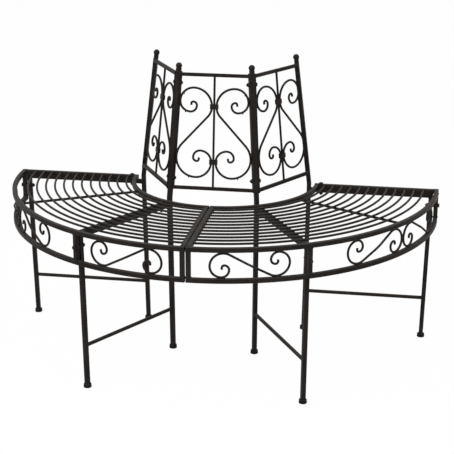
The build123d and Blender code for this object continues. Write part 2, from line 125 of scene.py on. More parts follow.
class BenchWelds(PropertyGroup):
    """Sizes of the weld beads"""

    rod_bead: FloatProperty(
        name="Bead on rods",
        description="Half the thickness of a bead around a rod",
        unit="LENGTH",
        default=0.0011,
    )
    tube_bead: FloatProperty(
        name="Bead on tubes",
        description="Half the thickness of a bead around a tube",
        unit="LENGTH",
        default=0.0014,
    )
    tack: FloatProperty(
        name="Tack", description="Half the width of a tack weld on a scroll", unit="LENGTH", default=0.0021
    )
    tack_shape: FloatVectorProperty(
        name="Tack shape",
        description="Stretch of a tack weld across, sideways and along",
        subtype="XYZ",
        default=(0.75, 1.0, 1.6),
    )
    tack_calm: FloatProperty(
        name="Tack calm", description="Share of the unevenness on tacks", subtype="FACTOR", default=0.6
    )
    unevenness: FloatProperty(
        name="Unevenness",
        description="Share of its thickness by which a bead wanders",
        subtype="FACTOR",
        default=0.35,
    )
    corner: FloatProperty(
        name="Corner",
        description="Rounding of a bead's corners, as a share of the tube",
        subtype="FACTOR",
        default=0.16,
    )
    slat_count: IntProperty(name="Slats", description="Slats in one seat section", default=12)
    slat_pitch: FloatProperty(name="Slat pitch", description="Slat to slat", unit="LENGTH", default=0.025)


class BenchFasteners(PropertyGroup):
    """Sizes of bolts and nuts"""

    shank: FloatProperty(name="Shank", description="Outside of the thread", unit="LENGTH", default=0.006)
    thread_pitch: FloatProperty(name="Pitch", description="Thread pitch", unit="LENGTH", default=0.001)
    thread_depth: FloatProperty(name="Depth", description="Thread depth", unit="LENGTH", default=0.0005)
    thread_length: FloatProperty(
        name="Thread", description="Length of the thread", unit="LENGTH", default=0.0085
    )
    lead_in: FloatProperty(
        name="Lead-in", description="Bolt end to the first turn, as a share of the pitch", default=0.8
    )
    tooth: FloatProperty(
        name="Tooth", description="Half the width of a tooth, as a share of the pitch", default=0.49
    )
    chamfer: FloatProperty(
        name="Chamfer", description="Slope of the shaved corners", subtype="ANGLE", default=radians(30)
    )
    bearing: FloatProperty(
        name="Bearing",
        description="Round face left on a hexagon, as a share of its width",
        subtype="FACTOR",
        default=0.95,
    )


class BenchStage(PropertyGroup):
    """Camera, lamps and floor"""

    camera_place: FloatVectorProperty(
        name="Camera",
        description="Where the camera stands",
        subtype="TRANSLATION",
        default=(0.60912, -3.33361, 1.51385),
    )
    azimuth: FloatProperty(
        name="Azimuth", description="Turn of the camera to the right", subtype="ANGLE", default=radians(9.463)
    )
    elevation: FloatProperty(
        name="Elevation", description="Downward tilt", subtype="ANGLE", default=radians(18.273)
    )
    roll: FloatProperty(
        name="Roll", description="Turn about the line of sight", subtype="ANGLE", default=radians(0.12)
    )
    lens: FloatProperty(name="Lens", description="Focal length in millimetres", default=106.76)
    sensor: FloatProperty(name="Sensor", description="Width of the film in millimetres", default=36)
    view_depth: FloatProperty(
        name="View depth", description="Furthest that the camera sees", unit="LENGTH", default=100
    )
    key_place: FloatVectorProperty(
        name="Key place",
        description="Where the large lamp hangs",
        subtype="TRANSLATION",
        default=(-2.2, -2.4, 3.2),
    )
    key_size: FloatProperty(
        name="Key size", description="Width of the large lamp", unit="LENGTH", default=2.4
    )
    key_power: FloatProperty(name="Key lamp", description="Power of the large lamp", unit="POWER", default=95)
    fill_place: FloatVectorProperty(
        name="Fill place",
        description="Where the fill lamp hangs",
        subtype="TRANSLATION",
        default=(2.8, -2.0, 2.2),
    )
    fill_size: FloatProperty(
        name="Fill size", description="Width of the fill lamp", unit="LENGTH", default=2.0
    )
    fill_power: FloatProperty(
        name="Fill lamp", description="Power of the fill lamp", unit="POWER", default=40
    )
    lamp_aim: FloatVectorProperty(
        name="Lamp aim", description="What the lamps point at", subtype="TRANSLATION", default=(0, 0, 0.4)
    )
    sky: FloatProperty(name="Sky", description="Strength of the light from all around", default=0.7)
    floor: FloatVectorProperty(
        name="Floor", description="Floor colour", subtype="COLOR", default=(0.82, 0.82, 0.81)
    )
    floor_size: FloatProperty(name="Floor size", description="Side of the floor", unit="LENGTH", default=40)
    floor_white: FloatProperty(
        name="Floor white", description="How far the floor is faded to white", subtype="FACTOR", default=0.97
    )


def turn_about_axis(degrees_about):
    """Turn about the half circle's axis."""
    middle = Matrix.Translation((0, axis_y, 0))
    return middle @ Matrix.Rotation(radians(degrees_about), 4, "Z") @ middle.inverted()


def aimed(place, direction, side=None):
    """Matrix that puts a model at a place with its z along a direction, and its x near a side direction."""
    along = Vector(direction).normalized()
    if side is None:
        side = Vector((0, 0, 1)) if abs(along.z) < 0.9 else Vector((1, 0, 0))
    across = (side - along * side.dot(along)).normalized()
    rest = along.cross(across)
    turn = Matrix((across, rest, along)).transposed().to_4x4()
    return Matrix.Translation(place) @ turn


# Shader helpers
def add_node(tree, kind, place, **settings):
    """Adds a node at a place with its settings."""
    node = tree.nodes.new(kind)
    node.location = place
    for key, value in settings.items():
        setattr(node, key, value)
    return node


def new_group(name, inputs, outputs):
    """Starts a shader node group with named sockets."""
    tree = bpy.data.node_groups.new(name, "ShaderNodeTree")
    for label, kind, default in inputs:
        socket = tree.interface.new_socket(label, in_out="INPUT", socket_type=kind)
        if default is not None:
            socket.default_value = default
    for label, kind in outputs:
        tree.interface.new_socket(label, in_out="OUTPUT", socket_type=kind)
    entry = add_node(tree, "NodeGroupInput", (-800, 0))
    result = add_node(tree, "NodeGroupOutput", (600, 0))
    return tree, entry, result


def orange_peel_group():
    """Fine grain of a sprayed or moulded surface on a slow wave."""
    tree, entry, result = new_group(
        "orange peel",
        [
            ("Vector", "NodeSocketVector", None),
            ("Grain", "NodeSocketFloat", 900.0),
            ("Wave", "NodeSocketFloat", 120.0),
        ],
        [("Height", "NodeSocketFloat")],
    )
    grain = add_node(tree, "ShaderNodeTexNoise", (-500, 150))
    grain.inputs["Detail"].default_value = 3
    wave = add_node(tree, "ShaderNodeTexNoise", (-500, -150))
    wave.inputs["Detail"].default_value = 2
    both = add_node(tree, "ShaderNodeMath", (-100, 0), operation="MULTIPLY_ADD")
    both.inputs[1].default_value = 2.0
    tree.links.new(entry.outputs["Vector"], grain.inputs["Vector"])
    tree.links.new(entry.outputs["Grain"], grain.inputs["Scale"])
    tree.links.new(entry.outputs["Vector"], wave.inputs["Vector"])
    tree.links.new(entry.outputs["Wave"], wave.inputs["Scale"])
    tree.links.new(wave.outputs["Fac"], both.inputs[0])
    tree.links.new(grain.outputs["Fac"], both.inputs[2])
    tree.links.new(both.outputs["Value"], result.inputs["Height"])
    return tree


def tone_drift_group():
    """Slow change of tone with a fine speckle in it."""
    tree, entry, result = new_group(
        "tone drift",
        [
            ("Vector", "NodeSocketVector", None),
            ("Cloud", "NodeSocketFloat", 14.0),
            ("Speckle", "NodeSocketFloat", 600.0),
        ],
        [("Drift", "NodeSocketFloat")],
    )
    cloud = add_node(tree, "ShaderNodeTexNoise", (-500, 150))
    cloud.inputs["Detail"].default_value = 4
    speckle = add_node(tree, "ShaderNodeTexNoise", (-500, -150))
    speckle.inputs["Detail"].default_value = 2
    blend = add_node(tree, "ShaderNodeMix", (-150, 0), data_type="FLOAT")
    blend.inputs["Factor"].default_value = 0.4
    spread = add_node(tree, "ShaderNodeMapRange", (150, 0), interpolation_type="SMOOTHSTEP")
    spread.inputs["From Min"].default_value = 0.36
    spread.inputs["From Max"].default_value = 0.64
    tree.links.new(entry.outputs["Vector"], cloud.inputs["Vector"])
    tree.links.new(entry.outputs["Cloud"], cloud.inputs["Scale"])
    tree.links.new(entry.outputs["Vector"], speckle.inputs["Vector"])
    tree.links.new(entry.outputs["Speckle"], speckle.inputs["Scale"])
    tree.links.new(cloud.outputs["Fac"], blend.inputs[2])
    tree.links.new(speckle.outputs["Fac"], blend.inputs[3])
    tree.links.new(blend.outputs[0], spread.inputs["Value"])
    tree.links.new(spread.outputs["Result"], result.inputs["Drift"])
    return tree


def dust_and_top_light_group():
    """Painted top light on what looks up, standing in for light from above, with a dusting that is thicker in
    patches.
    """
    tree, entry, result = new_group(
        "dust_and_top_light",
        [
            ("Vector", "NodeSocketVector", None),
            ("Normal", "NodeSocketVector", None),
            ("Amount", "NodeSocketFloat", 0.3),
        ],
        [("Dust and top light", "NodeSocketFloat")],
    )
    parts = add_node(tree, "ShaderNodeSeparateXYZ", (-550, 150))
    # The more a face looks up, the more it is lightened: a painted top light, broken up by patches of a
    # dusting
    upward = add_node(tree, "ShaderNodeMapRange", (-350, 150), interpolation_type="SMOOTHSTEP")
    upward.inputs["From Min"].default_value = 0.35
    upward.inputs["From Max"].default_value = 1.0
    patches = add_node(tree, "ShaderNodeTexNoise", (-550, -150))
    patches.inputs["Scale"].default_value = 35
    patches.inputs["Detail"].default_value = 6
    patches.inputs["Roughness"].default_value = 0.65
    spread = add_node(tree, "ShaderNodeMapRange", (-350, -150))
    spread.inputs["From Min"].default_value = 0.3
    spread.inputs["From Max"].default_value = 0.7
    spread.inputs["To Min"].default_value = 0.35
    cover = add_node(tree, "ShaderNodeMath", (0, 0), operation="MULTIPLY")
    scaled = add_node(tree, "ShaderNodeMath", (250, 0), operation="MULTIPLY")
    tree.links.new(entry.outputs["Normal"], parts.inputs["Vector"])
    tree.links.new(parts.outputs["Z"], upward.inputs["Value"])
    tree.links.new(entry.outputs["Vector"], patches.inputs["Vector"])
    tree.links.new(patches.outputs["Fac"], spread.inputs["Value"])
    tree.links.new(upward.outputs["Result"], cover.inputs[0])
    tree.links.new(spread.outputs["Result"], cover.inputs[1])
    tree.links.new(cover.outputs["Value"], scaled.inputs[0])
    tree.links.new(entry.outputs["Amount"], scaled.inputs[1])
    tree.links.new(scaled.outputs["Value"], result.inputs["Dust and top light"])
    return tree


def shared_group(name, build):
    """A node group that several materials use, made on first use."""
    return bpy.data.node_groups.get(name) or build()


def surface(name, dark, light, dust_and_top_light_colour, dust_and_top_light_amount, peel, drift, roughness, bump, metallic=0.0):
    """Material of a grained surface whose tone and gloss drift, with a painted top light and a dusting on the
    faces that look up.
    """
    material = bpy.data.materials.new(name)
    material.use_nodes = True
    tree = material.node_tree
    shader = tree.nodes["Principled BSDF"]
    shader.inputs["Metallic"].default_value = metallic
    shader.inputs["Specular IOR Level"].default_value = bpy.context.scene.bench_finish.shine
    coords = add_node(tree, "ShaderNodeTexCoord", (-1200, 0))
    geometry = add_node(tree, "ShaderNodeNewGeometry", (-1200, -300))
    height = add_node(tree, "ShaderNodeGroup", (-900, -350))
    height.node_tree = shared_group("orange peel", orange_peel_group)
    height.inputs["Grain"].default_value, height.inputs["Wave"].default_value = peel
    tone = add_node(tree, "ShaderNodeGroup", (-900, 150))
    tone.node_tree = shared_group("tone drift", tone_drift_group)
    tone.inputs["Cloud"].default_value, tone.inputs["Speckle"].default_value = drift
    dust_and_top_light_mask = add_node(tree, "ShaderNodeGroup", (-900, -100))
    dust_and_top_light_mask.node_tree = shared_group("dust_and_top_light", dust_and_top_light_group)
    dust_and_top_light_mask.inputs["Amount"].default_value = dust_and_top_light_amount
    for group in (height, tone, dust_and_top_light_mask):
        tree.links.new(coords.outputs["Object"], group.inputs["Vector"])
    tree.links.new(geometry.outputs["Normal"], dust_and_top_light_mask.inputs["Normal"])

    coat = add_node(tree, "ShaderNodeMix", (-600, 150), data_type="RGBA")
    coat.inputs[6].default_value = (*dark, 1)
    coat.inputs[7].default_value = (*light, 1)
    tree.links.new(tone.outputs["Drift"], coat.inputs["Factor"])
    # Faces that look up are lightened towards the top light colour: painted top light, with a dusting that
    # also dulls the gloss
    coat_with_dust_and_top_light = add_node(tree, "ShaderNodeMix", (-350, 150), data_type="RGBA")
    coat_with_dust_and_top_light.inputs[7].default_value = (*dust_and_top_light_colour, 1)
    tree.links.new(dust_and_top_light_mask.outputs["Dust and top light"], coat_with_dust_and_top_light.inputs["Factor"])
    tree.links.new(coat.outputs[2], coat_with_dust_and_top_light.inputs[6])
    tree.links.new(coat_with_dust_and_top_light.outputs[2], shader.inputs["Base Color"])

    gloss = add_node(tree, "ShaderNodeMapRange", (-600, -100))
    gloss.inputs["To Min"].default_value, gloss.inputs["To Max"].default_value = roughness
    tree.links.new(tone.outputs["Drift"], gloss.inputs["Value"])
    duller = add_node(tree, "ShaderNodeMath", (-350, -100), operation="MULTIPLY_ADD", use_clamp=True)
    duller.inputs[1].default_value = 0.5
    tree.links.new(dust_and_top_light_mask.outputs["Dust and top light"], duller.inputs[0])
    tree.links.new(gloss.outputs["Result"], duller.inputs[2])
    tree.links.new(duller.outputs["Value"], shader.inputs["Roughness"])

    relief = add_node(tree, "ShaderNodeBump", (-350, -350))
    relief.inputs["Strength"].default_value, relief.inputs["Distance"].default_value = bump
    tree.links.new(height.outputs["Height"], relief.inputs["Height"])
    tree.links.new(relief.outputs["Normal"], shader.inputs["Normal"])
    return material


def powder_coat():
    """Satin brown-black powder coat."""
    finish = bpy.context.scene.bench_finish
    return bpy.data.materials.get("powder coat") or surface(
        "powder coat",
        finish.coat_dark,
        finish.coat_light,
        finish.dust_and_top_light_colour,
        finish.dust_and_top_light_amount,
        peel=(800, 140),
        drift=(14, 600),
        roughness=(0.36, 0.5),
        bump=(0.35, 0.0002),
    )


def bolt_steel():
    """Blackened steel, a little worn."""
    finish = bpy.context.scene.bench_finish
    tone = Vector(finish.bolt_steel)
    return bpy.data.materials.get("bolt steel") or surface(
        "bolt steel",
        tone * 0.7,
        tone * 1.6,
        # The painted top light and dusting, weaker on the bolts
        finish.dust_and_top_light_colour,
        finish.dust_and_top_light_amount * 0.6,
        peel=(1600, 400),
        drift=(160, 1200),
        roughness=(0.3, 0.48),
        bump=(0.2, 0.0001),
        metallic=0.35,
    )


def foot_plastic():
    """Matt moulded plastic."""
    finish = bpy.context.scene.bench_finish
    tone = Vector(finish.foot_plastic)
    return bpy.data.materials.get("foot plastic") or surface(
        "foot plastic",
        tone * 0.8,
        tone * 1.7,
        # The painted top light and dusting, stronger on the foot caps
        finish.dust_and_top_light_colour,
        finish.dust_and_top_light_amount * 1.2,
        peel=(1500, 300),
        drift=(90, 900),
        roughness=(0.52, 0.68),
        bump=(0.45, 0.00025),
    )


# Modelling helpers
def select_only(*pieces):
    """Selects these objects alone, the last one active."""
    bpy.ops.object.select_all(action="DESELECT")
    for piece in pieces:
        piece.select_set(True)
        bpy.context.view_layer.objects.active = piece


def edit_all():
    """Goes into edit mode with everything selected."""
    bpy.ops.object.mode_set(mode="EDIT")
    bpy.ops.mesh.select_all(action="SELECT")


def copies_joined(models_and_places, name):
    """Copies models to their places and joins them as one object."""
    copies = []
    for model, place in models_and_places:
        copy = model.copy()
        copy.data = model.data.copy()
        copy.data.transform(place)
        bpy.context.collection.objects.link(copy)
        copies.append(copy)
    select_only(*copies)
    bpy.ops.object.join()
    whole = bpy.context.object
    whole.name = name
    whole.data.name = name
    return whole


def drop(*models):
    """Deletes models that were only copied."""
    select_only(*models)
    bpy.ops.object.delete()


def cover(piece, material):
    """Gives an object this material alone."""
    piece.data.materials.clear()
    piece.data.materials.append(material)


def fix_to_bench(piece, material):
    """Gives a finished piece its material and lets it ride on the bench."""
    cover(piece, material)
    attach(piece, "root")


def uneven(amount, seed):
    """Makes the mesh in edit mode wander a little, as a weld does."""
    bpy.ops.transform.vertex_random(offset=amount, uniform=0.5, normal=0.5, seed=seed)
    bpy.ops.mesh.vertices_smooth(factor=0.5, repeat=1)


def rod_bead(rod_radius, seed):
    """Bead around the end of a rod."""
    welds = bpy.context.scene.bench_welds
    bpy.ops.object.select_all(action="DESELECT")
    bpy.ops.mesh.primitive_torus_add(
        major_segments=20, minor_segments=8, major_radius=rod_radius, minor_radius=welds.rod_bead
    )
    edit_all()
    uneven(welds.rod_bead * welds.unevenness, seed)
    bpy.ops.object.mode_set(mode="OBJECT")
    bpy.ops.object.shade_smooth()
    return bpy.context.object


def tube_bead(width, seed):
    """Bead around the end of a square tube."""
    welds = bpy.context.scene.bench_welds
    bpy.ops.object.select_all(action="DESELECT")
    bpy.ops.mesh.primitive_plane_add(size=width)
    edit_all()
    bpy.ops.mesh.bevel(offset=width * welds.corner, segments=3, affect="VERTICES")
    bpy.ops.mesh.delete(type="ONLY_FACE")
    bpy.ops.mesh.select_all(action="SELECT")
    bpy.ops.mesh.subdivide(number_cuts=1)
    bpy.ops.object.mode_set(mode="OBJECT")
    bpy.ops.object.convert(target="CURVE")
    loop = bpy.context.object
    loop.data.bevel_depth = welds.tube_bead
    loop.data.bevel_resolution = 2
    bpy.ops.object.convert(target="MESH")
    edit_all()
    bpy.ops.mesh.remove_doubles(threshold=0.00005)
    bpy.ops.mesh.normals_make_consistent(inside=False)
    uneven(welds.tube_bead * welds.unevenness, seed)
    bpy.ops.object.mode_set(mode="OBJECT")
    bpy.ops.object.shade_smooth()
    return bpy.context.object


def tack_weld(seed):
    """Drop of weld where a scroll touches, long along z."""
    welds = bpy.context.scene.bench_welds
    bpy.ops.object.select_all(action="DESELECT")
    bpy.ops.mesh.primitive_uv_sphere_add(segments=14, ring_count=8, radius=welds.tack)
    edit_all()
    bpy.ops.transform.resize(value=welds.tack_shape)
    uneven(welds.tack * welds.unevenness * welds.tack_calm, seed)
    bpy.ops.object.mode_set(mode="OBJECT")
    bpy.ops.object.shade_smooth()
    return bpy.context.object


def touching_points(node, point, normal, reach=0.0005, apart=0.02):
    """Where a CAD node comes within reach of a plane, one point for each place."""
    found = []
    near = [v.co for v in frame["nodes"][node].data.vertices if abs((v.co - point).dot(normal)) < reach]
    for place in sorted(near, key=lambda p: abs((p - point).dot(normal))):
        if all((place - other).length > apart for other in found):
            found.append(place.copy())
    return found


def solids_of(node):
    """Triangles of each separate solid of a CAD node, as lists of corner points."""
    mesh = frame["nodes"][node].data
    mesh.calc_loop_triangles()
    owner = {}

    def root(key):
        while owner[key] != key:
            owner[key] = owner[owner[key]]
            key = owner[key]
        return key

    corners = []
    for triangle in mesh.loop_triangles:
        points = [mesh.vertices[i].co for i in triangle.vertices]
        keys = [tuple(round(value, 6) for value in point) for point in points]
        for key in keys:
            owner.setdefault(key, key)
        for key in keys[1:]:
            owner[root(key)] = root(keys[0])
        corners.append((keys[0], points))
    solids = {}
    for key, points in corners:
        solids.setdefault(root(key), []).append(points)
    return list(solids.values())


def fastener_place(triangles):
    """Middle of a hexagon fastener, its axis towards the head or a face, a corner, and both extents."""
    same_way = 0.999
    outermost = 0.9
    areas = {}
    for a, b, c in triangles:
        normal = (b - a).cross(c - a)
        if normal.length < 1e-12:
            continue
        facing = normal.normalized()
        for known in areas:
            if abs(known.dot(facing)) > same_way:
                areas[known] += normal.length
                break
        else:
            areas[facing.freeze()] = normal.length
    along = max(areas, key=areas.get).copy()
    points = [point for triangle in triangles for point in triangle]
    middle = sum(points, Vector()) / len(points)

    def from_axis(point, origin):
        offset = point - origin
        return offset - along * offset.dot(along)

    # The corners of the hexagon are furthest out, and their mean is on the axis
    reach = max(from_axis(p, middle).length for p in points)
    far = [p for p in points if from_axis(p, middle).length > reach * outermost]
    rim = {tuple(round(v, 6) for v in p) for p in far}
    centre = sum((Vector(p) for p in rim), Vector()) / len(rim)
    corner = max((from_axis(Vector(p), centre) for p in rim), key=lambda v: v.length)
    heights = [(p - centre).dot(along) for p in points]
    if abs(min(heights)) < abs(max(heights)):
        along = -along
        heights = [-h for h in heights]
    return centre, along, corner, min(heights), max(heights)


def shaved(block, cone_bottom, cone_top, height, middle):
    """Takes the corners off one end of a hexagon, with a flat cone."""
    bpy.ops.object.select_all(action="DESELECT")
    bpy.ops.mesh.primitive_cone_add(
        vertices=48, radius1=cone_bottom, radius2=cone_top, depth=height, location=(0, 0, middle)
    )
    cone = bpy.context.object
    cut = block.modifiers.new("corners", "BOOLEAN")
    cut.operation = "INTERSECT"
    cut.solver = "EXACT"
    cut.object = cone
    select_only(block)
    bpy.ops.object.modifier_apply(modifier=cut.name)
    drop(cone)


def hexagon(radius, height, ends):
    """Hexagon that stands on z = 0, its corners taken off at one end or both."""
    fasteners = bpy.context.scene.bench_fasteners
    flat = radius * cos(radians(30)) * fasteners.bearing
    wide = flat + height / tan(fasteners.chamfer)
    bpy.ops.object.select_all(action="DESELECT")
    bpy.ops.mesh.primitive_cylinder_add(vertices=6, radius=radius, depth=height, location=(0, 0, height / 2))
    block = bpy.context.object
    bpy.ops.object.transform_apply(location=True)
    shaved(block, wide, flat, height, height / 2)
    if ends == 2:
        shaved(block, flat, wide, height, height / 2)
    select_only(block)
    bpy.ops.object.shade_smooth_by_angle(angle=radians(15))
    return block


def threaded_rod(radius, top, bottom, thread_length):
    """Round shank between two levels, with a thread along its lower end."""
    fasteners = bpy.context.scene.bench_fasteners
    core = radius - fasteners.thread_depth
    bpy.ops.object.select_all(action="DESELECT")
    bpy.ops.mesh.primitive_cylinder_add(
        vertices=32, radius=core, depth=top - bottom, location=(0, 0, (top + bottom) / 2)
    )
    shank = bpy.context.object
    bpy.ops.object.transform_apply(location=True)
    bpy.ops.object.mode_set(mode="EDIT")
    bpy.ops.mesh.select_mode(type="FACE")
    bpy.ops.mesh.select_all(action="DESELECT")
    bpy.ops.object.mode_set(mode="OBJECT")
    for face in shank.data.polygons:
        face.select = face.normal.z < -0.9
    bpy.ops.object.mode_set(mode="EDIT")
    bpy.ops.mesh.bevel(offset=fasteners.thread_depth, segments=2, affect="EDGES")
    bpy.ops.object.mode_set(mode="OBJECT")
    bpy.ops.object.shade_smooth_by_angle(angle=radians(30))

    # The thread is a ring of four corners, drawn up a screw line
    turns = int(thread_length / fasteners.thread_pitch)
    start = bottom + fasteners.thread_pitch * fasteners.lead_in
    bpy.ops.object.select_all(action="DESELECT")
    half_tooth = fasteners.thread_pitch * fasteners.tooth
    bpy.ops.mesh.primitive_circle_add(
        vertices=4, radius=half_tooth, location=(core, 0, start), rotation=(pi / 2, 0, 0)
    )
    thread = bpy.context.object
    bpy.ops.transform.resize(value=(fasteners.thread_depth / half_tooth, 1, 1))
    bpy.ops.object.transform_apply(location=True, rotation=True, scale=True)
    screw = thread.modifiers.new("thread", "SCREW")
    screw.axis = "Z"
    screw.steps = 20
    screw.render_steps = 20
    screw.screw_offset = fasteners.thread_pitch
    screw.iterations = turns
    bpy.ops.object.modifier_apply(modifier=screw.name)
    edit_all()
    bpy.ops.mesh.fill_holes(sides=4)
    bpy.ops.mesh.select_all(action="SELECT")
    bpy.ops.mesh.normals_make_consistent(inside=False)
    bpy.ops.object.mode_set(mode="OBJECT")
    return shank, thread


def bolt_model(radius, head, shank_radius, shank_length, thread_length):
    """Hexagon bolt, with the underside of its head at z = 0."""
    block = hexagon(radius, head, 1)
    shank, thread = threaded_rod(shank_radius, head / 2, -shank_length, thread_length)
    select_only(thread, shank, block)
    bpy.ops.object.join()
    return bpy.context.object


def nut_model(radius, height, bore):
    """Hexagon nut with both faces shaved and a hole through it, standing on z = 0."""
    block = hexagon(radius, height, 2)
    bpy.ops.object.select_all(action="DESELECT")
    bpy.ops.mesh.primitive_cylinder_add(
        vertices=32, radius=bore, depth=height * 1.2, location=(0, 0, height / 2)
    )
    hole = bpy.context.object
    cut = block.modifiers.new("hole", "BOOLEAN")
    cut.operation = "DIFFERENCE"
    cut.solver = "EXACT"
    cut.object = hole
    select_only(block)
    bpy.ops.object.modifier_apply(modifier=cut.name)
    drop(hole)
    select_only(block)
    bpy.ops.object.shade_smooth_by_angle(angle=radians(15))
    return block


class BENCH_OT_powder_coat(Operator):
    """Coats the steel frame, rods and scrolls"""

    bl_idname = "bench.powder_coat"
    bl_label = "Powder coat"

    def execute(self, context):
        material = powder_coat()
        for name in coated_nodes:
            cover(frame["nodes"][name], material)
        return {"FINISHED"}


class BENCH_OT_foot_caps(Operator):
    """Finishes the moulded foot caps"""

    bl_idname = "bench.foot_caps"
    bl_label = "Foot caps"

    def execute(self, context):
        cover(frame["nodes"]["foot_caps"], foot_plastic())
        return {"FINISHED"}


class BENCH_OT_spacers(Operator):
    """Finishes the spacer sleeves on the leg bolts"""

    bl_idname = "bench.spacers"
    bl_label = "Spacers"

    def execute(self, context):
        cover(frame["nodes"]["bolt_spacers"], bolt_steel())
        return {"FINISHED"}


class BENCH_OT_bolts(Operator):
    """Puts shaved heads and threads on the bolts"""

    bl_idname = "bench.bolts"
    bl_label = "Bolts"

    def execute(self, context):
        fasteners = context.scene.bench_fasteners
        for node in ("panel_bolts", "leg_bolts", "seat_bolts"):
            models = {}
            places = []
            for solid in solids_of(node):
                middle, along, corner, low, high = fastener_place(solid)
                length = round(-low - high, 5)
                if length not in models:
                    models[length] = bolt_model(
                        corner.length, 2 * high, fasteners.shank / 2, length, fasteners.thread_length
                    )
                places.append((models[length], aimed(middle - along * high, along, corner.cross(along))))
            whole = copies_joined(places, f"{node}_threaded")
            drop(*models.values())
            fix_to_bench(whole, bolt_steel())
            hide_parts(node)
        return {"FINISHED"}


class BENCH_OT_nuts(Operator):
    """Shaves the corners of the nuts"""

    bl_idname = "bench.nuts"
    bl_label = "Nuts"

    def execute(self, context):
        fasteners = context.scene.bench_fasteners
        model = None
        places = []
        for solid in solids_of("hex_nuts"):
            middle, along, corner, low, high = fastener_place(solid)
            if model is None:
                model = nut_model(corner.length, high - low, fasteners.shank / 2)
            places.append((model, aimed(middle + along * low, along, corner.cross(along))))
        whole = copies_joined(places, "hex_nuts_shaved")
        drop(model)
        fix_to_bench(whole, bolt_steel())
        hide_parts("hex_nuts")
        return {"FINISHED"}


class BENCH_OT_slat_welds(Operator):
    """Welds the ends of the slats"""

    bl_idname = "bench.slat_welds"
    bl_label = "Slat welds"

    def execute(self, context):
        welds = context.scene.bench_welds
        slat_radius = (slats_high.z - slats_low.z) / 2
        height = (slats_high.z + slats_low.z) / 2
        outermost = slats_high.x - slat_radius
        beads = [rod_bead(slat_radius, seed) for seed in range(3)]
        places = []
        for step in range(welds.slat_count):
            radius = outermost - step * welds.slat_pitch
            seam_y = axis_y - (radius**2 - seam_bar_high.x**2) ** 0.5
            for side in (1, -1):
                bead = beads[(step + (side > 0)) % len(beads)]
                places.append((bead, aimed((side * radius, end_bar_low.y, height), (0, 1, 0))))
                places.append((bead, aimed((side * seam_bar_high.x, seam_y, height), (1, 0, 0))))
        whole = copies_joined(places, "slat_welds")
        drop(*beads)
        fix_to_bench(whole, powder_coat())
        return {"FINISHED"}


class BENCH_OT_tube_welds(Operator):
    """Welds the tubes of the seat sections and leg frames"""

    bl_idname = "bench.tube_welds"
    bl_label = "Tube welds"

    def execute(self, context):
        beads = [tube_bead(tube, seed) for seed in range(4)]
        rim_middle = upper_rim_high.x - tube / 2
        rim_inside = upper_rim_high.x - tube
        bearer_low, bearer_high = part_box("bearer_right_end")
        leg_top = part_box("front_leg_right_end")[1]
        seam_middle = (seam_bar_low.x + seam_bar_high.x) / 2
        bar_height = seat_underside + tube / 2
        spots = []
        for turn in frame_angles:
            about = turn_about_axis(turn)
            for height in (lower_rim_high.z, seat_underside):
                spots.append(about @ aimed((rim_middle, axis_y, height), (0, 0, 1)))
            spots.append(about @ aimed((bearer_low.x, axis_y, bearer_low.z + tube / 2), (1, 0, 0)))
            spots.append(about @ aimed((leg_top.x - tube / 2, axis_y, leg_top.z), (0, 0, 1)))
        for side in (1, -1):
            for radius in (inner_rim_high.x, rim_inside):
                spots.append(aimed((side * radius, axis_y, bar_height), (1, 0, 0)))
                spots.append(aimed((side * seam_middle, axis_y - radius, bar_height), (0, 1, 0)))
            for height in (lower_rim_high.z, seat_underside):
                spots.append(aimed((side * seam_middle, axis_y - rim_middle, height), (0, 0, 1)))
        whole = copies_joined([(beads[i % len(beads)], spot) for i, spot in enumerate(spots)], "tube_welds")
        drop(*beads)
        fix_to_bench(whole, powder_coat())
        return {"FINISHED"}


class BENCH_OT_rod_welds(Operator):
    """Welds stretchers and support rods to what carries them"""

    bl_idname = "bench.rod_welds"
    bl_label = "Rod welds"

    def execute(self, context):
        low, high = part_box("stretcher_right_end")
        stretcher_bead = rod_bead((high.z - low.z) / 2, 11)
        height = (low.z + high.z) / 2
        places = []
        for turn in frame_angles:
            for x in (low.x, high.x):
                places.append((stretcher_bead, turn_about_axis(turn) @ aimed((x, axis_y, height), (1, 0, 0))))
        rod_low, rod_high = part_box("right_support_rod")
        support_radius = (rod_high.z - rod_low.z) / 2
        support_bead = rod_bead(support_radius, 12)
        rod_height = (rod_low.z + rod_high.z) / 2
        for turn in (-half_step, half_step - 180):
            for radius in (inner_rim_high.x, upper_rim_high.x - tube):
                spot = aimed((radius, axis_y, rod_height), (1, 0, 0))
                places.append((support_bead, turn_about_axis(turn) @ spot))
        whole = copies_joined(places, "rod_welds")
        drop(stretcher_bead, support_bead)
        fix_to_bench(whole, powder_coat())
        return {"FINISHED"}


